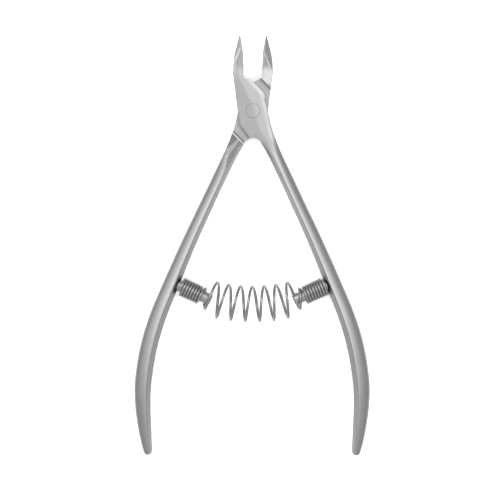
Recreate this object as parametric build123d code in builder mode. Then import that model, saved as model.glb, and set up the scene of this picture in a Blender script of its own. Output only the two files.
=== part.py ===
"""Cuticle nipper with a lap joint, a flush pivot rivet and a wire return spring.

The tool lies flat. X points right, Y points to the jaw tips and Z points up, away from
the bench. The origin is on the pivot axis, at the underside of the joint. Millimetres.

Both levers are one forging. The rear lever is that forging turned over about the Y line
at mid thickness, so each lever has one jaw, one half of the lap joint and the handle on
the other side.
"""

import os
from math import ceil, copysign, cos, degrees, pi, radians, sin, tan

from build123d import *

# ---- joint ----
joint_thickness = 6.4
mid_height = joint_thickness / 2
lap_clearance = 0.02
jaw_shoulder_distance = 7.4
jaw_shoulder_angle = 133.3
handle_shoulder_distance = 7.2
handle_shoulder_angle = -44.3
shoulder_reach = 14.0

# ---- jaws ----
tip_y = 20.05
cutting_angle = 9.35
cutting_heel_y = 15.6
jaw_taper_y = 9.6
jaw_taper_angle = 10.0
tip_bevel_outer = (-5.13, 12.55)
tip_bevel_inner = (-3.03, 16.7)
tip_bevel_angle = 26.0
cutting_bevel_angle = 15.0
cutting_bevel_start_y = 9.3
cutting_edge_relief = 0.02

# ---- handles: each station is centre x, centre y, width, depth, squareness ----
handle_stations = [
    (4.35, -8.20, 3.50, 6.26, 1.0),
    (6.50, -12.7, 3.46, 6.20, 0.8),
    (8.50, -16.8, 3.44, 6.06, 0.2),
    (11.55, -23.3, 3.52, 5.88, 0.0),
    (16.00, -32.9, 3.74, 5.80, 0.0),
    (20.55, -43.4, 4.12, 5.90, 0.0),
    (24.88, -54.0, 4.40, 6.16, 0.0),
    (27.33, -62.4, 4.52, 6.30, 0.0),
    (28.66, -70.8, 4.44, 6.34, 0.0),
    (28.85, -77.1, 4.10, 6.16, 0.0),
    (28.15, -84.4, 3.34, 5.40, 0.0),
    (27.25, -90.4, 2.20, 4.00, 0.0),
]
inner_flat_share = 0.36
inner_facet_share = 0.26
crown_fullness = 0.62
square_flat_share = 0.92
square_facet_share = 0.07
square_fullness = 0.94
handle_end_round = 0.8

# ---- pivot rivet ----
rivet_head_radius = 1.9
rivet_head_height = 1.3
rivet_shank_radius = 1.35
rivet_tail_height = 0.6
rivet_clearance = 0.03

# ---- return spring: turns and lengths along its axis are counted from its middle ----
spring_middle_y = -50.65
wire_radius = 0.365
open_coil_radius = 4.6
close_coil_radius = 2.2
open_pitch = 3.44
close_pitch = 0.775
pitch_ramp_start = 3.5
pitch_ramp_turns = 1.0
radius_ramp_start = 3.0
radius_ramp_turns = 0.8
left_turns = 11.3
right_turns = 11.9
axis_bend_radius = 43.0
axis_bend_length = 10.5
axis_ramp_start = 12.8
axis_ramp_length = 0.6
wire_steps_per_turn = 16
axis_step = 0.05

# ---- spring pegs: places along the peg's own line, counted as on the spring's axis ----
peg_slope = 24.5
peg_radius = 1.525
peg_tip_place = 10.85
peg_root_place = 20.2
peg_socket_depth = 2.0
peg_socket_start = 17.0
peg_chamfer = 0.3


def unit(angle):
    """Unit vector at an angle from +X."""
    return Vector(cos(radians(angle)), sin(radians(angle)), 0)


def blend(start, end, share):
    """Value part of the way from start to end."""
    return start + (end - start) * share


# ================================ the forging ================================


def handle_section_plane(index):
    """Plane across the handle at one station, its x direction pointing outwards."""
    before = handle_stations[max(index - 1, 0)]
    after = handle_stations[min(index + 1, len(handle_stations) - 1)]
    travel = Vector(after[0] - before[0], after[1] - before[1], 0).normalized()
    centre_x, centre_y = handle_stations[index][:2]
    return Plane(
        origin=(centre_x, centre_y, mid_height),
        x_dir=(-travel.Y, travel.X, 0),
        z_dir=travel,
    )


def cutting_line_point(y):
    """Point at height y on the radial line that the cutting edges close on."""
    return Vector(-y * tan(radians(cutting_angle)), y, 0)


def shoulder_corner(distance, angle, side):
    """Far corner of the lap recess along one shoulder line."""
    return unit(angle) * distance + unit(angle + 90) * side * shoulder_reach


with BuildPart() as forging:
    # Jaw and joint plate: down the jaw's outer edge, round the plate, across the handle
    # root, and back up round the plate to the cutting edge.
    with BuildSketch(Plane.XY):
        with BuildLine():
            outer_edge = Spline(
                (-3.62, tip_y),
                (-4.38, 17.1),
                (-4.90, 14.6),
                (-5.20, 11.2),
                (-4.66, 5.4),
                (-3.95, 0.0),
                (-3.42, -3.7),
            )
            plate_foot = Line(outer_edge @ 1, (-1.0, -7.05))
            crotch = ThreePointArc(plate_foot @ 1, (0.2, -6.92), (1.5, -7.45))
            root_inner = Spline(crotch @ 1, (2.3, -8.3), (4.5, -12.4))
            root_cut = Line(root_inner @ 1, (7.55, -10.95))
            root_outer = Spline(root_cut @ 1, (6.17, -7.9), (4.67, -3.4), (4.03, -0.3))
            plate_head = Spline(
                root_outer @ 1,
                (3.32, 2.5),
                (2.42, 5.3),
                (-0.08, 7.63),
                (-2.3, 8.75),
                tangents=[root_outer % 1, (-0.93, 0.36)],
            )
            jaw_relief = Spline(
                plate_head @ 1,
                (-2.52, 9.5),
                (-2.50, 11.6),
                cutting_line_point(cutting_heel_y),
            )
            cutting_edge = Line(jaw_relief @ 1, cutting_line_point(tip_y))
            Line(cutting_edge @ 1, outer_edge @ 0)
        make_face()
    extrude(amount=joint_thickness)

    # Jaw faces, front and back, tapered towards the tip.
    fall = tan(radians(jaw_taper_angle))
    for side in (1, -1):
        start = (0, jaw_taper_y, mid_height + side * mid_height)
        split(bisect_by=Plane(origin=start, z_dir=(0, fall, side)), keep=Keep.BOTTOM)

    # Tip facets, front and back, falling outwards from a slanting line across the jaw.
    foot = Vector(*tip_bevel_outer, joint_thickness - fall * (tip_bevel_outer[1] - jaw_taper_y))
    top = Vector(*tip_bevel_inner, joint_thickness - fall * (tip_bevel_inner[1] - jaw_taper_y))
    along = (top - foot).normalized()
    across = Vector(-along.Y, along.X, -tan(radians(tip_bevel_angle)))
    facing = along.cross(across)
    for side in (1, -1):
        start = (foot.X, foot.Y, mid_height + side * (foot.Z - mid_height))
        facet = Plane(origin=start, z_dir=(facing.X, facing.Y, side * facing.Z))
        split(bisect_by=facet, keep=Keep.BOTTOM)

    # Cutting bevels, front and back, meeting in the edge at mid thickness.
    bevel_start = cutting_line_point(cutting_bevel_start_y)
    bevel_plane = Plane(
        origin=(bevel_start.X, bevel_start.Y, mid_height),
        x_dir=unit(cutting_angle),
        z_dir=unit(cutting_angle + 90),
    )
    bevel_rise = joint_thickness
    bevel_set_back = cutting_edge_relief + bevel_rise * tan(radians(cutting_bevel_angle))
    with BuildSketch(bevel_plane):
        with BuildLine():
            Polyline(
                (-cutting_edge_relief, 0),
                (-bevel_set_back, bevel_rise),
                (joint_thickness, bevel_rise),
                (joint_thickness, -bevel_rise),
                (-bevel_set_back, -bevel_rise),
                close=True,
            )
        make_face()
    extrude(amount=tip_y, mode=Mode.SUBTRACT)

    # Handle: a flat inner face, two sloping facets and a crowned outer side.
    for index, (_, _, width, depth, square) in enumerate(handle_stations):
        inner = -width / 2
        outer = width / 2
        flat = blend(inner_flat_share, square_flat_share, square) * depth / 2
        crest = inner + blend(inner_facet_share, square_facet_share, square) * width
        fullness = blend(crown_fullness, square_fullness, square)
        crown = fullness * (outer - crest)
        swell = fullness * depth / 2
        with BuildSketch(handle_section_plane(index)):
            with BuildLine():
                Polyline((crest, -depth / 2), (inner, -flat), (inner, flat), (crest, depth / 2))
                Bezier(
                    (crest, depth / 2), (crest + crown, depth / 2), (outer, swell), (outer, 0)
                )
                Bezier(
                    (outer, 0), (outer, -swell), (crest + crown, -depth / 2), (crest, -depth / 2)
                )
            make_face()
    loft()
    handle_end = forging.faces().sort_by(Axis.Y)[0]
    fillet(handle_end.edges(), handle_end_round)

    # Lap recess: the rear half of the joint is removed between the two shoulders.
    with BuildSketch(Plane.XY):
        with BuildLine():
            Polyline(
                shoulder_corner(jaw_shoulder_distance, jaw_shoulder_angle, 1),
                shoulder_corner(jaw_shoulder_distance, jaw_shoulder_angle, -1),
                shoulder_corner(handle_shoulder_distance, handle_shoulder_angle, 1),
                shoulder_corner(handle_shoulder_distance, handle_shoulder_angle, -1),
                close=True,
            )
        make_face()
    extrude(amount=mid_height + lap_clearance, mode=Mode.SUBTRACT)


# ============================ the spring's axis ============================


def axis_heading(place):
    """Slope of the spring's axis in degrees, at a length along it from the middle."""
    bend = degrees(min(abs(place), axis_bend_length) / axis_bend_radius)
    bend_end = degrees(axis_bend_length / axis_bend_radius)
    ramp = min(max(abs(place) - axis_ramp_start, 0) / axis_ramp_length, 1)
    return copysign(bend + ramp * (peg_slope - bend_end), place)


def axis_point(place):
    """Point on the spring's axis, at a length along it from the middle."""
    steps = max(ceil(abs(place) / axis_step), 1)
    step = place / steps
    point = Vector(0, spring_middle_y, mid_height)
    for count in range(steps):
        point += unit(axis_heading((count + 0.5) * step)) * step
    return point


def peg_plane(side, place):
    """Plane across a spring peg, its normal pointing into the handle."""
    direction = unit(peg_slope) if side > 0 else unit(180 - peg_slope)
    root = axis_point(side * peg_root_place)
    return Plane(origin=root - direction * (peg_root_place - place), z_dir=direction)


# ================================ the levers ================================

peg_socket_end = peg_root_place + peg_socket_depth

with BuildPart() as front_lever:
    add(forging.part)
    with BuildSketch(Plane.XY):
        Circle(rivet_shank_radius + rivet_clearance)
    extrude(amount=joint_thickness, mode=Mode.SUBTRACT)
    with BuildSketch(Plane.XY.offset(joint_thickness)):
        Circle(rivet_head_radius + rivet_clearance)
    extrude(amount=-rivet_head_height - rivet_clearance, mode=Mode.SUBTRACT)
    with BuildSketch(peg_plane(1, peg_socket_start)):
        Circle(peg_radius)
    extrude(amount=peg_socket_end - peg_socket_start, mode=Mode.SUBTRACT)
front_lever.part.label = "front_lever"

with BuildPart() as rear_lever:
    with Locations((0, 0, joint_thickness)):
        add(forging.part, rotation=(0, 180, 0))
    with BuildSketch(Plane.XZ):
        with BuildLine():
            Polyline(
                (0, 0),
                (rivet_head_radius, 0),
                (rivet_shank_radius, rivet_tail_height),
                (rivet_shank_radius, joint_thickness),
                (0, joint_thickness),
                close=True,
            )
        make_face()
    revolve(axis=Axis.Z, mode=Mode.SUBTRACT)
    with BuildSketch(peg_plane(-1, peg_socket_start)):
        Circle(peg_radius)
    extrude(amount=peg_socket_end - peg_socket_start, mode=Mode.SUBTRACT)
rear_lever.part.label = "rear_lever"


# ================================ the rivet ================================

with BuildPart() as pivot_rivet:
    head_underside = joint_thickness - rivet_head_height
    with BuildSketch(Plane.XZ):
        with BuildLine():
            Polyline(
                (0, 0),
                (rivet_head_radius, 0),
                (rivet_shank_radius, rivet_tail_height),
                (rivet_shank_radius, head_underside),
                (rivet_head_radius, head_underside),
                (rivet_head_radius, joint_thickness),
                (0, joint_thickness),
                close=True,
            )
        make_face()
    revolve(axis=Axis.Z)
pivot_rivet.part.label = "pivot_rivet"


# ============================= the spring pegs =============================


def spring_peg(side):
    """Round peg from its bevelled tip to the bottom of its socket in the handle."""
    with BuildPart() as peg:
        with BuildSketch(peg_plane(side, peg_tip_place)):
            Circle(peg_radius)
        extrude(amount=peg_socket_end - peg_tip_place)
        tip_face = peg.faces().filter_by(GeomType.PLANE).sort_by(Axis.X, reverse=side < 0)[0]
        chamfer(tip_face.edges(), peg_chamfer)
    return peg.part


left_spring_peg = spring_peg(-1)
left_spring_peg.label = "left_spring_peg"
right_spring_peg = spring_peg(1)
right_spring_peg.label = "right_spring_peg"


# ============================ the return spring ============================


def turn_place(turn):
    """Length along the axis reached by a number of turns from the middle."""
    count = abs(turn)
    open_part = min(count, pitch_ramp_start)
    ramp_part = min(max(count - pitch_ramp_start, 0), pitch_ramp_turns)
    close_part = max(count - pitch_ramp_start - pitch_ramp_turns, 0)
    ramp_fall = (open_pitch - close_pitch) * ramp_part**2 / (2 * pitch_ramp_turns)
    place = open_pitch * (open_part + ramp_part) - ramp_fall + close_pitch * close_part
    return copysign(place, turn)


def turn_radius(turn):
    """Radius of the coil at a number of turns from the middle."""
    ramp = min(max((abs(turn) - radius_ramp_start) / radius_ramp_turns, 0), 1)
    share = ramp * ramp * (3 - 2 * ramp)
    return open_coil_radius + share * (close_coil_radius - open_coil_radius)


def wire_point(turn):
    """Point on the wire's centre line."""
    place = turn_place(turn)
    upright = unit(axis_heading(place) + 90)
    swing = 2 * pi * turn
    radius = turn_radius(turn)
    return axis_point(place) + upright * radius * cos(swing) - Vector(0, 0, radius * sin(swing))


with BuildPart() as return_spring:
    wire_steps = round((left_turns + right_turns) * wire_steps_per_turn)
    with BuildLine() as wire:
        turn_step = (left_turns + right_turns) / wire_steps
        Spline([wire_point(count * turn_step - left_turns) for count in range(wire_steps + 1)])
    with BuildSketch(Plane(origin=wire.line @ 0, z_dir=wire.line % 0)):
        Circle(wire_radius)
    sweep(is_frenet=True)
return_spring.part.label = "return_spring"


# ================================== export ==================================

os.makedirs("parts", exist_ok=True)
export_step(front_lever.part, "parts/front_lever.step")
export_step(rear_lever.part, "parts/rear_lever.step")
export_step(pivot_rivet.part, "parts/pivot_rivet.step")
export_step(left_spring_peg, "parts/left_spring_peg.step")
export_step(right_spring_peg, "parts/right_spring_peg.step")
export_step(return_spring.part, "parts/return_spring.step")
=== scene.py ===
import math

import bmesh
import bpy
import numpy as np
from mathutils import Matrix, Vector


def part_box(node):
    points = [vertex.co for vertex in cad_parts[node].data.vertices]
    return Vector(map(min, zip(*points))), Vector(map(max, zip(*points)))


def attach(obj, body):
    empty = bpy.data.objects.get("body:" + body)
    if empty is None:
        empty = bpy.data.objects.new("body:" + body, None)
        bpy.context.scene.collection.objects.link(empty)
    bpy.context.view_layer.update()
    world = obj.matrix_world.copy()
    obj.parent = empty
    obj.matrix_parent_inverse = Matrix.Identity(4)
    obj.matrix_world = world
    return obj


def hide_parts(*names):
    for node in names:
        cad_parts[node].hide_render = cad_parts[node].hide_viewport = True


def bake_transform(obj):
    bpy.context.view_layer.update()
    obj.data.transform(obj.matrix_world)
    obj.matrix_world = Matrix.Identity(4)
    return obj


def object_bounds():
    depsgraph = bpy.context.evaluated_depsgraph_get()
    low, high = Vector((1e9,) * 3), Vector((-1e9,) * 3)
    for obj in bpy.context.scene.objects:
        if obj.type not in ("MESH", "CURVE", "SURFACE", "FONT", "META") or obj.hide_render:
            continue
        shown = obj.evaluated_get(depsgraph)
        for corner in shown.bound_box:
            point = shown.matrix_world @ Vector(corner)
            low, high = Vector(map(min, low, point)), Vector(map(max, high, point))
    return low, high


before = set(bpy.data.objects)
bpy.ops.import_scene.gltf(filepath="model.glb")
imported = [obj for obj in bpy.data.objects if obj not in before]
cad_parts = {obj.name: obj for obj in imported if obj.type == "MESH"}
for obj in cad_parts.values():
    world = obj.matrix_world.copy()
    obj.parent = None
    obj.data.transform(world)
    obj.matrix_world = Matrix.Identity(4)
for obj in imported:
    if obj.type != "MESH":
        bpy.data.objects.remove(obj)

cad_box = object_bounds()

# Cuticle nipper, seen lying flat. Lengths in this script are millimetres, in the frame of
# the CAD model, until a mesh is made: MM turns them into metres.
MM = 0.001

# ---- joint and jaws, as in the CAD model ----
JOINT_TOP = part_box("pivot_rivet")[1][2] / MM
MID = JOINT_TOP / 2
LAP_CLEARANCE = 0.02
TIP_Y = 20.05
CUTTING_SLOPE = math.tan(math.radians(9.35))
CUTTING_BEVEL = math.tan(math.radians(15.0))
EDGE_RELIEF = 0.02
# Jaw faces fall towards the tip: where a fall starts, how steep it is and how softly it
# starts. The back falls away from the jaw shoulder, and its outward lean fades out.
FRONT_FALL = (10.4, 0.19, 1.0)
BACK_FALL = (7.8, 0.124, 0.2)
BACK_TIP_FALL = (10.7, 0.06, 0.5)
BACK_LEAN = 0.117
BACK_LEAN_X = -2.5
BACK_LEAN_START = (6.0, 7.6)
BACK_LEAN_END = (10.1, 12.3)
BEVEL_START = (9.1, 9.5)
JAW_SHOULDER = (7.4, 133.3)
HANDLE_SHOULDER = (7.2, -44.3)

# The two edges of a lever's outline, matched by a station number. Each point is the
# station, x and y, and a station in CORNERS is sharp.
LEFT_EDGE = [
    (0.0, -3.62, TIP_Y), (0.35, -4.38, 17.1), (0.65, -4.90, 14.6), (1.0, -5.17, 11.9),
    (2.0, -4.97, 8.1), (3.0, -4.38, 3.4), (4.0, -3.95, 0.0), (5.0, -3.42, -3.7),
    (6.0, -1.0, -7.05), (6.5, 0.2, -6.92), (7.0, 1.5, -7.45), (8.0, 3.0, -9.7),
    (9.0, 4.50, -12.42),
]
LEFT_CORNERS = (5.0, 6.0)
RIGHT_EDGE = [
    (0.0, -3.30, TIP_Y), (0.62, -2.57, 15.6), (1.0, -2.50, 11.9), (1.7, -2.52, 9.5),
    (2.0, -2.30, 8.75), (2.5, -0.08, 7.63), (3.0, 2.42, 5.3), (4.0, 3.40, 2.2),
    (5.0, 4.02, -0.3), (6.0, 4.72, -3.6), (7.0, 5.70, -6.6), (8.0, 6.62, -8.9),
    (9.0, 7.54, -10.94),
]
RIGHT_CORNERS = (0.62, 2.0)

# Handle: station, centre x, centre y, width and depth.
HANDLE = [
    (9.0, 6.02, -11.68, 3.38, 6.22), (10.0, 8.50, -16.8, 3.42, 6.04),
    (11.0, 11.55, -23.3, 3.50, 5.86), (12.0, 16.00, -32.9, 3.72, 5.78),
    (13.0, 20.55, -43.4, 4.10, 5.88), (14.0, 24.88, -54.0, 4.38, 6.14),
    (15.0, 27.33, -62.4, 4.50, 6.28), (16.0, 28.66, -70.8, 4.42, 6.32),
    (17.0, 28.785, -77.1, 4.08, 6.14), (18.0, 28.15, -84.4, 3.32, 5.38),
    (19.0, 27.27, -90.38, 2.18, 3.98),
]
HANDLE_END_ROUND = 0.8
INNER_FLAT = 0.36
INNER_FACET = 0.26
# Crown of a handle, front and back: slope beside the crest, how far the top of the curve
# reaches out and how steeply, and the height at which the side turns upright.
FRONT_CROWN = (0.06, 0.68, 0.25, 0.62)
BACK_CROWN = (0.12, 0.60, 0.22, 0.62)
CREST_DROP = 0.3


def chain(points, stations, corners=()):
    """Values along a chain of points, smooth except at its corner stations."""
    points = np.array(points, float)
    keys = points[:, 0]
    values = points[:, 1:]
    breaks = [keys[0], *corners, keys[-1]]
    result = np.zeros((len(stations), values.shape[1]))
    for low, high in zip(breaks[:-1], breaks[1:]):
        inside = (keys >= low - 1e-9) & (keys <= high + 1e-9)
        k, v = keys[inside], values[inside]
        slope = np.gradient(v, k, axis=0) if len(k) > 2 else np.diff(v, axis=0) / np.diff(k)
        if len(k) <= 2:
            slope = np.repeat(slope, 2, axis=0)
        here = (stations >= low - 1e-9) & (stations <= high + 1e-9)
        s = stations[here]
        i = np.clip(np.searchsorted(k, s, side="right") - 1, 0, len(k) - 2)
        gap = (k[i + 1] - k[i])[:, None]
        t = ((s - k[i]) / (k[i + 1] - k[i]))[:, None]
        result[here] = (
            (2 * t**3 - 3 * t**2 + 1) * v[i] + (t**3 - 2 * t**2 + t) * gap * slope[i]
            + (3 * t**2 - 2 * t**3) * v[i + 1] + (t**3 - t**2) * gap * slope[i + 1]
        )
    return result


def smooth(low, high, value):
    """0 below low, 1 above high, and a smooth ramp between."""
    t = np.clip((value - low) / (high - low), 0, 1)
    return t * t * (3 - 2 * t)


def rounded_abs(value, radius):
    """Distance from zero with its corner rounded off."""
    return np.sqrt(value * value + radius * radius) - radius


def quarter(count):
    """Sine and cosine over a quarter turn."""
    turn = np.linspace(0, math.pi / 2, count)
    return np.sin(turn), np.cos(turn)


# Points along each stretch of a half section, from the left edge to the right one.
WALL, ROUND_L, FACET_L, RIDGE, FACET_R, ROUND_R = 4, 5, 7, 7, 9, 8


def flat_profile(width, height, ridge, falls, rounds, ridge_round, set_back, roll, drop):
    """Half section of the joint and jaws: distance from the left edge, and height."""
    fall_l, fall_r = falls
    round_l, round_r = rounds
    roll_width, roll_fall = roll
    reach = width - set_back(height - drop(width))
    roll_start = reach - roll_width

    def top(u):
        side = rounded_abs(u - ridge, ridge_round)
        past = np.maximum(u - roll_start, 0)
        slope = np.where(u < ridge, fall_l, fall_r)
        rolled = roll_fall * past * past / (2 * roll_width)
        return height - slope * side - rolled - drop(u)

    sin_l, cos_l = quarter(ROUND_L)
    end_l = top(round_l) - round_l
    edge_angle = math.atan(fall_r + roll_fall)
    start_r = reach - round_r * (1 - math.sin(edge_angle))
    u = [
        np.zeros(WALL), round_l * (1 - cos_l),
        np.linspace(round_l, ridge - 2 * ridge_round, FACET_L + 2)[1:-1],
        ridge + 2 * ridge_round * np.linspace(-1, 1, RIDGE),
        np.linspace(ridge + 2 * ridge_round, start_r, FACET_R + 2)[1:-1],
    ]
    h = [np.linspace(0, end_l, WALL + 1)[:-1], end_l + round_l * sin_l]
    h += [top(part) for part in u[2:]]
    turn = np.linspace(edge_angle, math.pi / 2, ROUND_R)
    u.append(start_r + round_r * (np.sin(turn) - math.sin(edge_angle)))
    h.append(top(start_r) + round_r * (np.cos(turn) - math.cos(edge_angle)))
    wall = np.linspace(h[-1][-1], 0, WALL + 1)[1:]
    u.append(width - set_back(wall))
    h.append(wall)
    return np.concatenate(u), np.concatenate(h)


def handle_profile(width, depth, crest_round, crown):
    """Half section of a handle: flat inner face, sloping facet, crest and oval crown."""
    crest_slope, crown_share, crown_slope, side_share = crown
    flat = INNER_FLAT * depth / 2
    drop = CREST_DROP * crest_slope
    bend = np.array([INNER_FACET * width, (1 - drop) * depth / 2])
    slope = np.array([bend[0], bend[1] - flat])
    slope /= np.linalg.norm(slope)
    foot = 0.12
    share = np.linspace(0, 1, ROUND_L)
    u = [np.zeros(WALL), foot * slope[0] * share**2]
    h = [np.linspace(0, flat - foot, WALL + 1)[:-1], flat - foot + foot * share * (2 - share)]
    h[1] += (slope[1] - 1) * foot * share**2
    start = np.array([u[1][-1], h[1][-1]])
    fall = np.array([1.0, -crest_slope]) / math.hypot(1.0, crest_slope)
    end = bend - slope * crest_round
    line = np.linspace(0, 1, FACET_L + 2)[1:-1, None]
    facet = start + (end - start) * line
    out = bend + fall * crest_round
    t = np.linspace(0, 1, RIDGE)[:, None]
    turn = (1 - t) ** 2 * end + 2 * t * (1 - t) * bend + t * t * out
    t = np.linspace(0, 1, FACET_R + ROUND_R + WALL + 1)[1:, None]
    tip = np.array([width, 0.0])
    ahead = crown_share * (tip[0] - out[0])
    lead = out + [ahead, -crown_slope * ahead]
    side = np.array([width, side_share * out[1]])
    curve = (1 - t) ** 3 * out + 3 * t * (1 - t) ** 2 * lead + 3 * t * t * (1 - t) * side
    crown_line = curve + t**3 * tip
    rest = np.concatenate([facet, turn, crown_line])
    return np.concatenate([*u, rest[:, 0]]), np.concatenate([*h, rest[:, 1]])


# ------------------------------------------------------------------ the levers
LEFT_FALL, RIGHT_FALL = 0.075, 0.05
RIDGE_LINE = [
    (0.0, 0.42), (1.0, 0.36), (2.0, 0.46), (3.0, 0.42), (4.0, 0.52), (5.0, 0.55),
    (6.0, 0.50), (7.0, 0.40), (9.0, 0.30), (19.0, 0.30),
]
# Rounding along the right edge: station, edge radius, and the width and final slope of
# the part that rolls over towards it.
HEAD_ROLL = [
    (0.0, 0.04, 0.4, 0.0), (1.7, 0.06, 0.4, 0.0), (2.1, 0.10, 0.6, 0.10),
    (2.6, 0.10, 1.2, 0.20), (3.2, 0.10, 1.4, 0.23), (5.0, 0.12, 1.1, 0.30),
    (7.0, 0.18, 1.3, 0.42), (9.0, 0.3, 1.6, 0.8), (19.0, 0.3, 1.6, 0.8),
]
SIDE_ROUND = 0.22
BACK_ROUND = 0.14
BACK_RIDGE = 0.45
RIDGE_ROUND = 0.27
# The stations between which a section turns from plate to handle, in front and at the
# back. The back's inner half turns sooner: its first station, and the length of its turn.
FRONT_TURN = (7.2, 11.2)
BACK_TURN = (8.2, 10.4)
INNER_TURN = (7.56, 0.40)
HANDLE_START, HANDLE_STOP = 9, 19


def soft_fall(y, start, slope, softness):
    """How far a face has fallen at height y, its fall starting softly."""
    past = y - start
    return slope * (past + np.sqrt(past * past + softness * softness)) / 2


def jaw_drop(x, y, side):
    """How far the jaw's front (1) or back (-1) face lies below the plate."""
    if side > 0:
        return soft_fall(y, *FRONT_FALL)
    lean = BACK_LEAN * np.maximum(BACK_LEAN_X - x, 0) * (1 - smooth(*BACK_LEAN_END, y))
    near_shoulder = smooth(*BACK_LEAN_START, y)
    return soft_fall(y, *BACK_FALL) + soft_fall(y, *BACK_TIP_FALL) + lean * near_shoulder


def handle_edges(stations):
    """The handle's stations, both its edges and its depths, with its end rounded off."""
    nudge = 1e-3
    centre = chain(HANDLE, stations)
    ahead = chain(HANDLE, np.minimum(stations + nudge, HANDLE_STOP))[:, :2]
    behind = chain(HANDLE, np.maximum(stations - nudge, HANDLE_START))[:, :2]
    travel = ahead - behind
    travel /= np.linalg.norm(travel, axis=1)[:, None]
    normal = np.stack([-travel[:, 1], travel[:, 0]], axis=1)
    # The last rings close in on a quarter circle.
    to_end = np.linalg.norm(centre[:, :2] - centre[-1, :2], axis=1)
    last = np.argmax(to_end < HANDLE_END_ROUND)
    turn = np.linspace(0, math.pi / 2, 8)
    tail_place = HANDLE_END_ROUND * (1 - np.sin(turn))
    tail = np.repeat(centre[-1:], len(turn), axis=0)
    tail[:, :2] -= travel[-1] * tail_place[:, None]
    tail[:, 2:] -= 2 * HANDLE_END_ROUND * (1 - np.cos(turn))[:, None]
    centre = np.concatenate([centre[:last], tail])
    normal = np.concatenate([normal[:last], np.repeat(normal[-1:], len(turn), axis=0)])
    stations = np.concatenate([stations[:last], np.full(len(turn), float(HANDLE_STOP))])
    half = centre[:, 2:3] / 2
    return stations, centre[:, :2] - normal * half, centre[:, :2] + normal * half, centre[:, 3]


def section_ring(station, left, right, depth, ridge, roll):
    """One closed ring round the forging: the front half of its section, then the back."""
    width = np.linalg.norm(right - left)
    across = (right - left) / width

    def front_drop(u):
        return jaw_drop(left[0] + across[0] * u, left[1] + across[1] * u, 1)

    def back_drop(u):
        return jaw_drop(left[0] + across[0] * u, left[1] + across[1] * u, -1)

    near_jaw = float(smooth(*BEVEL_START, right[1]))
    line_x = -right[1] * CUTTING_SLOPE - EDGE_RELIEF

    def set_back(h):
        return near_jaw * np.maximum(right[0] - line_x + h * CUTTING_BEVEL, 0)

    small = 0.16 * width
    soft = min(RIDGE_ROUND, 0.08 * width)
    front = flat_profile(
        width, depth / 2, ridge * width, (LEFT_FALL, RIGHT_FALL),
        (min(SIDE_ROUND, small), min(roll[0], small)), soft, set_back, roll[1:],
        front_drop,
    )
    back = flat_profile(
        width, depth / 2, BACK_RIDGE * width, (0.0, 0.0),
        (min(BACK_ROUND, small), min(BACK_ROUND, small)), soft, set_back,
        (1.0, 0.0), back_drop,
    )
    grip_front = handle_profile(width, depth, min(0.16, 0.1 * width), FRONT_CROWN)
    grip_back = handle_profile(width, depth, min(0.24, 0.1 * width), BACK_CROWN)
    share_front = float(smooth(*FRONT_TURN, station))
    share_back = np.full(len(grip_back[0]), float(smooth(*BACK_TURN, station)))
    inner_points = WALL + ROUND_L + FACET_L + RIDGE
    share_back[:inner_points] = np.clip((station - INNER_TURN[0]) / INNER_TURN[1], 0, 1)
    fu, fh = [a + (b - a) * share_front for a, b in zip(front, grip_front)]
    bu, bh = [a + (b - a) * share_back for a, b in zip(back, grip_back)]
    u = np.concatenate([fu, bu[::-1][1:-1]])
    z = np.concatenate([MID + fh, MID - bh[::-1][1:-1]])
    return np.column_stack([left[0] + across[0] * u, left[1] + across[1] * u, z])


def lever_rings():
    """The forging as closed rings of points, from the jaw tip to the handle end."""
    steps = (26, 12, 16, 12, 12, 14, 12, 36, 12)
    stations = np.concatenate(
        [np.linspace(k, k + 1, n, endpoint=False) for k, n in enumerate(steps)]
        + [np.linspace(HANDLE_START, HANDLE_STOP, 111)]
    )
    stations = np.unique(np.append(stations, RIGHT_CORNERS))
    blade = stations[stations < HANDLE_START]
    grip, grip_left, grip_right, grip_depths = handle_edges(stations[stations >= HANDLE_START])
    left = np.concatenate([chain(LEFT_EDGE, blade, LEFT_CORNERS), grip_left])
    right = np.concatenate([chain(RIGHT_EDGE, blade, RIGHT_CORNERS), grip_right])
    stations = np.concatenate([blade, grip])
    depths = np.concatenate([np.full(len(blade), 2 * MID), grip_depths])
    depths[: len(blade)] -= smooth(7, 9, blade) * (2 * MID - grip_depths[0])
    ridges = chain(RIDGE_LINE, stations)[:, 0]
    rolls = chain(HEAD_ROLL, stations)
    return [section_ring(*row) for row in zip(stations, left, right, depths, ridges, rolls)]


def set_grain(mesh, along, around):
    """Stores, at each point, its length along a drawn or turned piece and its turn."""
    grain = mesh.attributes.new("grain", "FLOAT_VECTOR", "POINT")
    rows = [(s, math.cos(a), math.sin(a)) for s in along for a in around]
    grain.data.foreach_set("vector", np.array(rows, np.float32).ravel())
    return mesh


def mesh_from_rings(name, rings):
    """A closed mesh skinned over rings with equal numbers of points."""
    count = len(rings[0])
    faces = []
    for i in range(len(rings) - 1):
        for j in range(count):
            k = (j + 1) % count
            a, b = i * count, (i + 1) * count
            faces.append((a + j, a + k, b + k, b + j))
    faces.append(tuple(range(count - 1, -1, -1)))
    faces.append(tuple((len(rings) - 1) * count + j for j in range(count)))
    mesh = bpy.data.meshes.new(name)
    mesh.from_pydata([tuple(p) for p in np.concatenate(rings)], [], faces)
    bm = bmesh.new()
    bm.from_mesh(mesh)
    bmesh.ops.recalc_face_normals(bm, faces=bm.faces)
    bm.to_mesh(mesh)
    bm.free()
    return mesh


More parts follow.
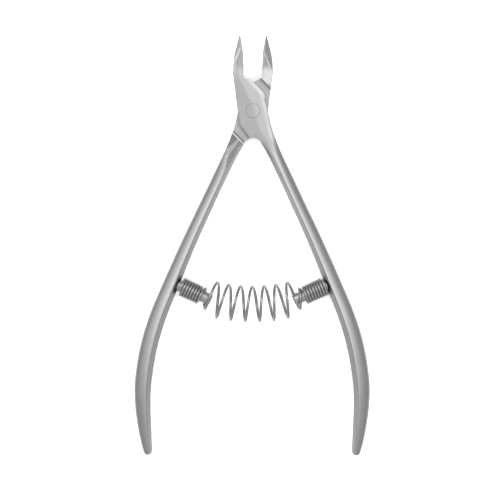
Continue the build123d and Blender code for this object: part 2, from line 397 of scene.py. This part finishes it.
def cut_by_plane(mesh, point, normal):
    """Everything on the normal's side of a plane is cut off, and the cut is closed."""
    bm = bmesh.new()
    bm.from_mesh(mesh)
    bmesh.ops.bisect_plane(
        bm, geom=bm.verts[:] + bm.edges[:] + bm.faces[:], dist=1e-5,
        plane_co=point, plane_no=normal, clear_outer=True,
    )
    open_edges = [e for e in bm.edges if e.is_boundary]
    bmesh.ops.holes_fill(bm, edges=open_edges, sides=0)
    bmesh.ops.recalc_face_normals(bm, faces=bm.faces)
    bm.to_mesh(mesh)
    bm.free()


def boolean(mesh, cutter, operation="DIFFERENCE"):
    """The mesh with a cutter mesh taken out of it, or the part that they share."""
    body = bpy.data.objects.new("work", mesh)
    tool = bpy.data.objects.new("tool", cutter)
    for obj in (body, tool):
        bpy.context.scene.collection.objects.link(obj)
    change = body.modifiers.new("cut", "BOOLEAN")
    change.operation = operation
    change.solver = "EXACT"
    change.object = tool
    bpy.context.view_layer.update()
    result = bpy.data.meshes.new_from_object(
        body.evaluated_get(bpy.context.evaluated_depsgraph_get())
    )
    bpy.data.objects.remove(body)
    bpy.data.objects.remove(tool)
    return result


def unit(angle):
    """Unit vector in the tool's plane, at an angle from +X."""
    return np.array([math.cos(math.radians(angle)), math.sin(math.radians(angle))])


# Tip facets, with a narrow polished line along the inner side of each. For the front (1)
# and the back (-1): the ends of the facet's inner side, and how far it is sunk.
TIP_FACETS = {
    1: ((-5.37, 12.4), (-3.57, 16.7), 0.03),
    -1: ((-4.56, 12.0), (-2.81, 16.7), 0.0),
}
TIP_ANGLE = 26.0
TIP_LINE_ANGLE = 14.0
TIP_LINE_INSET = 0.34
TIP_LINE_DEPTH = TIP_LINE_INSET * math.tan(math.radians(TIP_LINE_ANGLE))

# Lean of the shoulder walls, and the narrow land left between a wall and the ground faces.
SHOULDER_DRAFT = 0.42
LAND = 0.30

# Ground faces behind the handle shoulder: x and y of the handle's inner crest, depth
# there, width of the inner face, and where the outer face starts.
GRIND = [
    (1.20, -4.2, 0.16, 0.30, 0.75), (2.95, -7.5, 0.19, 0.34, 0.90),
    (3.75, -9.0, 0.36, 0.52, 1.35), (4.65, -10.5, 0.54, 0.72, 1.95),
    (5.50, -12.0, 0.62, 0.86, 2.7), (6.22, -13.5, 0.50, 1.0, 4.0),
    (6.90, -15.0, 0.32, 1.0, 4.0), (7.45, -16.3, 0.04, 1.0, 4.0),
]
INNER_GRIND = 0.42
BAND_RISE = 0.03


def recess_cutter():
    """The lap recess, its shoulders leaning back, with a bevel along the handle's one."""
    reach = 14.0
    layers = (
        (MID + LAP_CLEARANCE, 0, 0), (0.52, 0.26, 0.04), (0.10, 0.3, SHOULDER_DRAFT),
        (-1.5, 0.5, SHOULDER_DRAFT + 1.6 / 0.26),
    )
    rings = []
    for z, jaw_bevel, handle_bevel in layers:
        ring = []
        for (distance, angle), bevel in (
            (JAW_SHOULDER, jaw_bevel), (HANDLE_SHOULDER, handle_bevel),
        ):
            for side in (1, -1):
                corner = unit(angle) * (distance + bevel) + unit(angle + 90) * side * reach
                ring.append((*corner, z))
        rings.append(np.array(ring))
    return mesh_from_rings("recess", rings)


def cylinder(name, start, axis, radius, length, sides=96):
    """A plain round cutter from a start point along an axis."""
    axis = Vector(axis).normalized()
    turn = axis.to_track_quat("Z", "Y").to_matrix()
    rings = []
    for place in np.linspace(0, length, 2):
        ring = []
        for i in range(sides):
            angle = 2 * math.pi * i / sides
            point = Vector((radius * math.cos(angle), radius * math.sin(angle), place))
            ring.append(tuple(turn @ point + Vector(start)))
        rings.append(np.array(ring))
    return mesh_from_rings(name, rings)


def grind_cutter():
    """What is ground off behind the handle shoulder: an inner face that rises outwards, a
    nearly flat band, and an outer face that falls away."""
    across = unit(26.0)
    rings = []
    for x, y, depth, inner, outer in GRIND:
        band = depth - inner * INNER_GRIND
        line = [
            (-1.5, -3.0), (-1.5, depth + 1.5 * INNER_GRIND), (inner, band),
            (outer, band - BAND_RISE), (outer + 3.0, band + 2.9), (outer + 5.0, -3.0),
        ]
        rings.append(np.array([(x + across[0] * w, y + across[1] * w, z) for w, z in line]))
    ground = mesh_from_rings("grind", rings)
    distance, angle = HANDLE_SHOULDER
    away = unit(angle)
    # The cut runs out at a slope, so that the land is backed by the metal under it.
    end = Vector((*away * (distance + SHOULDER_DRAFT + LAND), 0))
    cut_by_plane(ground, end, Vector((*-away, 1)).normalized())
    return ground


def forging_mesh():
    """One lever forging before it is drilled and recessed, in front lever position."""
    mesh = mesh_from_rings("forging", lever_rings())
    for side, (foot, top, sink) in TIP_FACETS.items():
        foot, top = Vector((*foot, 0)), Vector((*top, 0))
        outward = Vector((foot.y - top.y, top.x - foot.x, 0)).normalized()
        for inset, depth, angle in (
            (TIP_LINE_INSET, sink, TIP_LINE_ANGLE), (0.0, sink + TIP_LINE_DEPTH, TIP_ANGLE),
        ):
            a, b = foot - outward * inset, top - outward * inset
            for point in (a, b):
                height = MID - depth - float(jaw_drop(point.x, point.y, side))
                point.z = MID + side * height
            fall = outward - Vector((0, 0, side * math.tan(math.radians(angle))))
            facing = side * (b - a).cross(fall).normalized()
            cut_by_plane(mesh, a, facing)
    return mesh


def mark_sharp(mesh, angle, cut_angle):
    """Marks sharp edges. A lower angle counts beside the large faces that a cut leaves."""
    bm = bmesh.new()
    bm.from_mesh(mesh)
    for edge in bm.edges:
        if len(edge.link_faces) == 2:
            cut = max(len(face.verts) for face in edge.link_faces) > 8
            edge.smooth = edge.calc_face_angle() < (cut_angle if cut else angle)
    bm.to_mesh(mesh)
    bm.free()


# Degrees from which an edge is sharp: anywhere, and beside the large faces of a cut.
SHARP, CUT_SHARP = 35.0, 6.0


def finished(name, mesh, body, *replaced):
    """A piece in metres, shaded smooth but for its sharp edges, riding on a body."""
    mesh.transform(Matrix.Scale(MM, 4))
    mesh.shade_smooth()
    mark_sharp(mesh, math.radians(SHARP), math.radians(CUT_SHARP))
    piece = bpy.data.objects.new(name, mesh)
    bpy.context.scene.collection.objects.link(piece)
    shading = piece.modifiers.new("even shading", "WEIGHTED_NORMAL")
    shading.keep_sharp = True
    shading.weight = 80
    if body:
        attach(piece, body)
    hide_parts(*replaced)
    return piece


RIVET_RADIUS = 1.9
RIVET_GAP = 0.03
RIVET_LINE = 1.88

forging = forging_mesh()
turned = forging.copy()
turned.transform(Matrix.Translation((0, 0, 2 * MID)) @ Matrix.Rotation(math.pi, 4, "Y"))


def drill(radius):
    return cylinder("drill", (0, 0, -1), (0, 0, 1), radius, 2 * MID + 2)


rivet_mesh = boolean(boolean(drill(RIVET_RADIUS), forging, "INTERSECT"), turned, "INTERSECT")
lever = boolean(forging, grind_cutter())
lever = boolean(lever, recess_cutter())
lever = boolean(lever, drill(RIVET_RADIUS + RIVET_GAP))
rear = lever.copy()
rear.transform(Matrix.Translation((0, 0, 2 * MID)) @ Matrix.Rotation(math.pi, 4, "Y"))

front_lever = finished("front_lever_shell", lever, "front_lever", "front_lever")
rear_lever = finished("rear_lever_shell", rear, "rear_lever", "rear_lever")
rivet = finished("rivet_plug", rivet_mesh, "rear_lever", "pivot_rivet")


# ------------------------------------------------------------------ spring and pegs
SPRING_Y = -50.65
WIRE_RADIUS = 0.385
WIRE_SIDES = 12
STEPS_PER_TURN = 28
END_ROUND, END_PUSH = 0.82, 0.05
LOOP_LEAN = 0.28
OPEN_RADIUS, CLOSE_RADIUS = 4.58, 2.18
OPEN_PITCH, CLOSE_PITCH = 3.44, 0.775
PITCH_RAMP = (3.5, 1.0)
RADIUS_RAMP = (3.0, 0.8)
LEFT_TURNS, RIGHT_TURNS = 11.3, 11.9
AXIS_BEND_RADIUS, AXIS_BEND = 43.0, 10.5
AXIS_RAMP = (12.8, 0.6)
PEG_SLOPE = math.radians(24.5)
PEG_TIP, PEG_ROOT, PEG_END = 10.85, 20.2, 22.2
PEG_RADIUS = 1.525


def axis_heading(place):
    """Slope of the spring's axis at a length along it from the middle."""
    bend = np.minimum(np.abs(place), AXIS_BEND) / AXIS_BEND_RADIUS
    ramp = np.clip((np.abs(place) - AXIS_RAMP[0]) / AXIS_RAMP[1], 0, 1)
    return np.sign(place) * (bend + ramp * (PEG_SLOPE - AXIS_BEND / AXIS_BEND_RADIUS))


def axis_points(places):
    """Points on the spring's axis at lengths along it from the middle."""
    fine = np.linspace(-25, 25, 5001)
    heading = axis_heading(fine)
    step = fine[1] - fine[0]
    x = np.cumsum(np.cos(heading)) * step
    y = np.cumsum(np.sin(heading)) * step
    middle = len(fine) // 2
    x, y = x - x[middle], y - y[middle] + SPRING_Y
    return np.stack([np.interp(places, fine, x), np.interp(places, fine, y)], axis=1)


def wire_points(turns):
    """The wire's centre line, and the axis of the coil beside each point."""
    count = np.abs(turns)
    start, length = PITCH_RAMP
    ramp = np.clip(count - start, 0, length)
    place = OPEN_PITCH * (np.minimum(count, start) + ramp)
    place -= (OPEN_PITCH - CLOSE_PITCH) * ramp**2 / (2 * length)
    place += CLOSE_PITCH * np.maximum(count - start - length, 0)
    place *= np.sign(turns)
    share = smooth(RADIUS_RAMP[0], sum(RADIUS_RAMP), count)
    radius = OPEN_RADIUS + share * (CLOSE_RADIUS - OPEN_RADIUS)
    centre = np.column_stack([axis_points(place), np.full(len(turns), MID)])
    heading = axis_heading(place)
    up = np.column_stack([-np.sin(heading), np.cos(heading), np.zeros(len(turns))])
    swing = 2 * math.pi * turns
    out = up * np.cos(swing)[:, None]
    out[:, 2] = -np.sin(swing)
    lean = (1 - share) * LOOP_LEAN * np.sin(swing)
    centre[:, 0] += lean * np.cos(heading)
    centre[:, 1] += lean * np.sin(heading)
    return centre + out * radius[:, None], out


def wire_mesh():
    """The spring wire as a tube along its centre line, with rounded cut ends."""
    steps = int((LEFT_TURNS + RIGHT_TURNS) * STEPS_PER_TURN)
    turns = np.linspace(-LEFT_TURNS, RIGHT_TURNS, steps)
    points, out = wire_points(turns)
    travel = np.gradient(points, axis=0)
    travel /= np.linalg.norm(travel, axis=1)[:, None]
    side = out - travel * np.sum(out * travel, axis=1)[:, None]
    side /= np.linalg.norm(side, axis=1)[:, None]
    other = np.cross(travel, side)
    angle = np.linspace(0, 2 * math.pi, WIRE_SIDES, endpoint=False)
    rings = []
    for p, a, b in zip(points, side, other):
        round_wire = np.outer(np.cos(angle), a) + np.outer(np.sin(angle), b)
        rings.append(p + WIRE_RADIUS * round_wire)
    ends = []
    for ring, point, sign in ((rings[0], points[0], -1), (rings[-1], points[-1], 1)):
        push = travel[0 if sign < 0 else -1] * sign * END_PUSH
        ends.append(point + (ring - point) * END_ROUND + push)
    rings = [ends[0], *rings, ends[1]]
    lengths = np.linalg.norm(np.diff(points, axis=0), axis=1)
    along = np.concatenate([[0, 0], np.cumsum(lengths), [np.sum(lengths)]])
    return set_grain(mesh_from_rings("wire", rings), along, angle)


def peg_tip(side):
    """Centre of a peg's tip face. The peg's line is the straight far end of the axis."""
    root = Vector((*axis_points(np.array([side * PEG_ROOT]))[0], MID))
    direction = Vector((side * math.cos(PEG_SLOPE), math.sin(PEG_SLOPE), 0))
    return root - direction * (PEG_ROOT - PEG_TIP)


def peg_mesh(side):
    """A turned peg with a bevelled, slightly dished tip, sunk in its socket."""
    direction = Vector((side * math.cos(PEG_SLOPE), math.sin(PEG_SLOPE), 0))
    tip = peg_tip(side)
    frame_turn = direction.to_track_quat("Z", "Y").to_matrix()
    # Radius, and distance from the tip face.
    profile = [
        (0.35, 0.035), (0.7, 0.02), (1.0, 0.0), (1.16, 0.0), (1.23, 0.02),
        (1.30, 0.08), (1.45, 0.22), (1.505, 0.29), (PEG_RADIUS, 0.38), (PEG_RADIUS, 1.2),
        (PEG_RADIUS, 4.0), (PEG_RADIUS, 8.0), (PEG_RADIUS, PEG_END - PEG_TIP),
    ]
    angles = np.linspace(0, 2 * math.pi, 64, endpoint=False)
    rings = []
    for radius, place in profile:
        points = [Vector((radius * math.cos(a), radius * math.sin(a), place)) for a in angles]
        rings.append(np.array([tuple(frame_turn @ point + tip) for point in points]))
    # Turning marks show on the tip face too, so the radius counts as well as the place.
    along = [place - radius for radius, place in profile]
    return set_grain(mesh_from_rings("peg", rings), along, angles)


left_peg = finished("left_peg_pin", peg_mesh(-1), "rear_lever", "left_spring_peg")
right_peg = finished("right_peg_pin", peg_mesh(1), "front_lever", "right_spring_peg")

spring = finished("spring_wire_coil", wire_mesh(), None, "return_spring")
start, end = peg_tip(-1) * MM, peg_tip(1) * MM
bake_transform(spring)
# Between the peg tips the coils close up evenly as the handles turn about the pivot, so
# the share of each ring round the wire is the angle of its middle about the pivot.
places = np.array([vertex.co for vertex in spring.data.vertices])
places = places.reshape(-1, WIRE_SIDES, 3).mean(axis=1)
angles = np.arctan2(places[:, 0], -places[:, 1])
left_angle, right_angle = math.atan2(start.x, -start.y), math.atan2(end.x, -end.y)
shares = np.clip((angles - left_angle) / (right_angle - left_angle), 0, 1)
shares = np.repeat(shares, WIRE_SIDES)


# ------------------------------------------------------------------ materials
class Finish:
    """A node material, with short ways to add the nodes that it is built from."""

    def __init__(self, name):
        self.material = bpy.data.materials.new(name)
        self.material.use_nodes = True
        self.nodes = self.material.node_tree.nodes
        self.shader = self.nodes["Principled BSDF"]

    def put(self, socket, value):
        if isinstance(value, bpy.types.NodeSocket):
            self.material.node_tree.links.new(value, socket)
        else:
            socket.default_value = value

    def add(self, kind, inputs=None, **settings):
        made = self.nodes.new("ShaderNode" + kind)
        for key, value in settings.items():
            setattr(made, key, value)
        for key, value in (inputs or {}).items():
            self.put(made.inputs[key], value)
        return made

    def math(self, operation, a, b=0.0, c=0.0, clamp=False):
        made = self.add("Math", {0: a, 1: b, 2: c}, operation=operation, use_clamp=clamp)
        return made.outputs[0]

    def noise(self, vector, scale, detail=2.0, stretch=(1, 1, 1)):
        """Noise about zero, at a number of features per millimetre."""
        spread = self.add("VectorMath", {0: vector, 1: stretch}, operation="MULTIPLY")
        made = self.add("TexNoise", {
            "Vector": spread.outputs[0], "Scale": scale, "Detail": detail, "Roughness": 0.55,
        })
        return self.math("SUBTRACT", made.outputs[0], 0.5)

    def ramp(self, value, low, high):
        made = self.add("MapRange", {"Value": value, "From Min": low, "From Max": high})
        return made.outputs[0]


def millimetres(finish):
    """Place on the object, in millimetres."""
    where = finish.add("TexCoord").outputs["Object"]
    return finish.add("VectorMath", {0: where, "Scale": 1 / MM}, operation="SCALE").outputs[0]


def flow(finish, place, side):
    """Place with x counted from the lever's own centre line, so grain follows it."""
    split = finish.add("SeparateXYZ", {0: place})
    line = [(20.0, -3.4), (9.0, -3.5), (2.0, -0.6), (-6.5, 3.2)]
    line += [(y, x) for _, x, y, _, _ in HANDLE]
    low, high, reach = -91.0, 21.0, 30.0
    curve = finish.add("FloatCurve", {"Value": finish.ramp(split.outputs[1], low, high)})
    points = curve.mapping.curves[0].points
    while len(points) < len(line):
        points.new(0.5, 0.5)
    for point, (y, x) in zip(points, sorted(line)):
        point.location = ((y - low) / (high - low), (x + reach) / (2 * reach))
    curve.mapping.update()
    centre = finish.math("MULTIPLY_ADD", curve.outputs[0], 2 * reach, -reach)
    across = finish.math("MULTIPLY_ADD", centre, -side, split.outputs[0])
    joined = {0: across, 1: split.outputs[1], 2: split.outputs[2]}
    return finish.add("CombineXYZ", joined).outputs[0]


def steel(name, tone, roughness, grain, place, finish, ring=0.0, fine=1.0, jaws=0.0):
    """Satin steel: directional grain, soft mottling, polished edges, painted shade in corners,
    and painted shade on the flat jaw faces when jaws is set.
    """
    lines = finish.noise(grain, 7.0, 3.0, (1.0, 0.035, 1.0))
    streaks = finish.noise(grain, 1.1, 2.0, (1.0, 0.06, 1.0))
    mottle = finish.noise(place, 0.9, 3.0)
    clouds = finish.noise(place, 0.13, 2.0)
    pits = finish.ramp(finish.noise(place, 5.5, 1.0), 0.21, 0.27)
    soft = finish.add("Bevel", {"Radius": 0.05 * MM}, samples=4)
    wide = finish.add("Bevel", {"Radius": 0.12 * MM}, samples=4)
    true = finish.add("NewGeometry").outputs["Normal"]
    bent = finish.add("VectorMath", {0: wide.outputs[0], 1: true}, operation="DOT_PRODUCT")
    edge = finish.ramp(bent.outputs["Value"], 0.995, 0.90)
    open_sky = finish.add("AmbientOcclusion", {"Distance": 0.9 * MM}, samples=8).outputs["AO"]
    worn = finish.math("MULTIPLY", edge, finish.math("ADD", mottle, 0.9), clamp=True)
    worn = finish.math("MULTIPLY", worn, open_sky)

    shade = finish.math("MULTIPLY_ADD", lines, 0.024 * fine, 1.0)
    shade = finish.math("MULTIPLY_ADD", streaks, 0.04 * fine, shade)
    shade = finish.math("MULTIPLY_ADD", mottle, 0.026, shade)
    shade = finish.math("MULTIPLY_ADD", clouds, 0.06, shade)
    shade = finish.math("MULTIPLY_ADD", worn, 0.07, shade)
    shade = finish.math("MULTIPLY_ADD", pits, -0.03, shade)
    # Painted shade: ambient occlusion darkens the colour in corners and crevices.
    corner = finish.math("MULTIPLY_ADD", open_sky, 0.25, 0.75)
    shade = finish.math("MULTIPLY", shade, corner)
    if ring:
        split = finish.add("SeparateXYZ", {0: place})
        flat = finish.add("CombineXYZ", {0: split.outputs[0], 1: split.outputs[1]})
        radius = finish.add("VectorMath", {0: flat.outputs[0]}, operation="LENGTH")
        gap = finish.math("SUBTRACT", radius.outputs["Value"], ring)
        near = finish.ramp(finish.math("ABSOLUTE", gap), 0.14, 0.05)
        shade = finish.math("MULTIPLY_ADD", near, -0.20, shade)
    if jaws:
        # Painted shade: the flat jaw faces are darkened, all but the tip facets, in place of the
        # darker reflections that they show.
        height = finish.add("SeparateXYZ", {0: place}).outputs[1]
        facing = finish.add("SeparateXYZ", {0: finish.add("TexCoord").outputs["Normal"]})
        level = finish.ramp(finish.math("ABSOLUTE", facing.outputs[0]), 0.16, 0.10)
        painted_jaw_shade = finish.math("MULTIPLY", finish.ramp(height, 10.8, 12.2), level)
        shade = finish.math("MULTIPLY_ADD", painted_jaw_shade, -jaws, shade)
    value = finish.math("MULTIPLY", shade, tone)
    blue = finish.math("MULTIPLY", value, 1.004)
    colour = finish.add("CombineColor", {0: value, 1: value, 2: blue})

    rough = finish.math("MULTIPLY_ADD", lines, 0.05 * fine, roughness)
    rough = finish.math("MULTIPLY_ADD", mottle, 0.045, rough)
    rough = finish.math("MULTIPLY_ADD", clouds, 0.06, rough)
    rough = finish.math("MULTIPLY_ADD", worn, -0.07, rough)
    rough = finish.math("MULTIPLY_ADD", open_sky, -0.05, finish.math("ADD", rough, 0.05))

    relief = finish.math("MULTIPLY_ADD", lines, 0.6 * fine, finish.math("MULTIPLY", mottle, 0.5))
    relief = finish.math("SUBTRACT", relief, finish.math("MULTIPLY", pits, 0.4))
    bump = finish.add("Bump", {
        "Height": relief, "Strength": 0.12, "Distance": 0.004 * MM, "Normal": soft.outputs[0],
    })
    finish.put(finish.shader.inputs["Base Color"], colour.outputs[0])
    finish.put(finish.shader.inputs["Metallic"], 1.0)
    finish.put(finish.shader.inputs["Roughness"], rough)
    finish.put(finish.shader.inputs["Normal"], bump.outputs[0])
    return finish.material


# The last argument of lever_steel is how much painted shade darkens the flat jaw faces.
def lever_steel(name, side, jaw_shade_depth):
    finish = Finish(name)
    place = millimetres(finish)
    grain = flow(finish, place, side)
    return steel(name, 0.65, 0.27, grain, place, finish, RIVET_LINE, 1.0, jaw_shade_depth)


def rivet_steel():
    finish = Finish("rivet_steel")
    place = millimetres(finish)
    return steel("rivet_steel", 0.65, 0.26, place, place, finish, RIVET_LINE, 0.7)


def round_steel(name, tone, roughness, stretch):
    """Steel whose grain follows the length and the turn stored in its mesh."""
    finish = Finish(name)
    stored = finish.add("Attribute", attribute_name="grain").outputs["Vector"]
    grain = finish.add("VectorMath", {0: stored, 1: stretch}, operation="MULTIPLY").outputs[0]
    return steel(name, tone, roughness, grain, millimetres(finish), finish)


peg_steel = round_steel("peg_steel", 0.64, 0.27, (1.0, 1.0, 0.03))
spring_wire = round_steel("spring_wire", 0.55, 0.16, (0.05, 1.0, 1.0))
FINISHES = (
    # The last number for each lever is the painted shade on its flat jaw faces.
    (front_lever, "lever_steel", lever_steel("lever_steel_front", 1, 0.15)),
    (rear_lever, "lever_steel", lever_steel("lever_steel_rear", -1, 0.20)),
    (rivet, "rivet_steel", rivet_steel()),
    (left_peg, "peg_steel", peg_steel), (right_peg, "peg_steel", peg_steel),
    (spring, "spring_wire", spring_wire),
)
for piece, slot, material in FINISHES:
    piece.data.materials.clear()
    piece.data.materials.append(material)

# ------------------------------------------------------------------ studio
floor_mesh = bpy.data.meshes.new("floor")
FLOOR_Z = cad_box[0][2] - 0.01 * MM
FLOOR_REACH = 1.5
corners = [(-1, -1), (1, -1), (1, 1), (-1, 1)]
floor_points = [(x * FLOOR_REACH, y * FLOOR_REACH, FLOOR_Z) for x, y in corners]
floor_mesh.from_pydata(floor_points, [], [(0, 1, 2, 3)])
floor = bpy.data.objects.new("studio_floor", floor_mesh)
bpy.context.scene.collection.objects.link(floor)
paper = bpy.data.materials.new("paper")
paper.use_nodes = True
paper.node_tree.nodes["Principled BSDF"].inputs["Base Color"].default_value = (0.9, 0.9, 0.9, 1)
paper.node_tree.nodes["Principled BSDF"].inputs["Roughness"].default_value = 0.9
floor_mesh.materials.append(paper)

world = bpy.data.worlds.new("studio")
bpy.context.scene.world = world
world.use_nodes = True
nodes, links = world.node_tree.nodes, world.node_tree.links
where = nodes.new("ShaderNodeTexCoord")
split = nodes.new("ShaderNodeSeparateXYZ")
links.new(where.outputs["Generated"], split.inputs[0])
height = nodes.new("ShaderNodeMapRange")
height.inputs["From Min"].default_value = -1
links.new(split.outputs["Z"], height.inputs["Value"])
tent = nodes.new("ShaderNodeValToRGB")
links.new(height.outputs[0], tent.inputs[0])
# Brightness all round by height, from straight below (-1) to straight above (1).
TENT = [
    (-1.0, 0.70), (-0.75, 0.74), (-0.62, 0.66), (-0.45, 0.42), (-0.05, 0.34), (0.2, 0.36),
    (0.6, 0.40), (0.8, 0.43), (0.94, 0.53), (0.985, 0.59), (1.0, 0.65),
]
ramp = tent.color_ramp
while len(ramp.elements) < len(TENT):
    ramp.elements.new(0.5)
for element, (z, tone) in zip(ramp.elements, TENT):
    element.position = (z + 1) / 2
    element.color = (tone, tone, tone, 1)
total = tent.outputs[0]
# Softboxes: the direction that each one shines from, how narrow it is, and how bright. A
# negative one darkens.
SOFTBOXES = [
    ((0.33, 0.33, 0.884), 28, 1.35),
    ((-0.36, 0.30, 0.883), 35, 1.0),
    ((-0.30, 0.50, 0.81), 50, 1.0),
    ((-0.70, 0.45, 0.55), 12, 0.3),
    ((0.20, 0.10, 0.975), 60, 0.22),
    ((0.0, 0.42, 0.907), 28, -0.42),
    ((0.0, -0.90, 0.436), 14, 0.40),
]


def sky_node(kind, operation, *inputs):
    """A node of the world with an operation, each input a link or a value."""
    made = nodes.new("ShaderNode" + kind)
    made.operation = operation
    for socket, value in zip(made.inputs, inputs):
        if isinstance(value, bpy.types.NodeSocket):
            links.new(value, socket)
        else:
            socket.default_value = value
    return made


for direction, tightness, strength in SOFTBOXES:
    toward = Vector(direction).normalized()
    facing = sky_node("VectorMath", "DOT_PRODUCT", where.outputs["Generated"], toward)
    ahead = sky_node("Math", "MAXIMUM", facing.outputs["Value"], 0)
    spread = sky_node("Math", "POWER", ahead.outputs[0], tightness)
    total = sky_node("Math", "MULTIPLY_ADD", spread.outputs[0], strength, total).outputs[0]
links.new(total, nodes["Background"].inputs["Color"])

floor.visible_glossy = False


LAMP_TARGET = Vector((0, -0.035, 0))


def area(name, place, size, power):
    """A round lamp aimed at the middle of the tool."""
    light = bpy.data.lights.new(name, "AREA")
    light.shape = "DISK"
    light.size = size
    light.energy = power
    lamp = bpy.data.objects.new(name, light)
    lamp.location = place
    aim = LAMP_TARGET - Vector(place)
    lamp.rotation_euler = aim.to_track_quat("-Z", "Y").to_euler()
    bpy.context.scene.collection.objects.link(lamp)
    return lamp


overhead = area("overhead", (0, -0.035, 0.7), 1.6, 25)
overhead.visible_glossy = False
overhead.visible_camera = False

camera_data = bpy.data.cameras.new("camera")
camera = bpy.data.objects.new("camera", camera_data)
bpy.context.scene.collection.objects.link(camera)
bpy.context.scene.camera = camera
VIEW_WIDTH = 131.6
VIEW_CENTRE = (-0.66, -36.45)
VIEW_TURN = 0.0025
DISTANCE = 620.0
SENSOR = 36
camera_data.sensor_width = SENSOR
camera_data.lens = SENSOR * DISTANCE / VIEW_WIDTH
camera.location = (VIEW_CENTRE[0] * MM, VIEW_CENTRE[1] * MM, (MID + DISTANCE) * MM)
camera.rotation_euler = (0, 0, VIEW_TURN)
bpy.context.scene.view_settings.view_transform = "Standard"
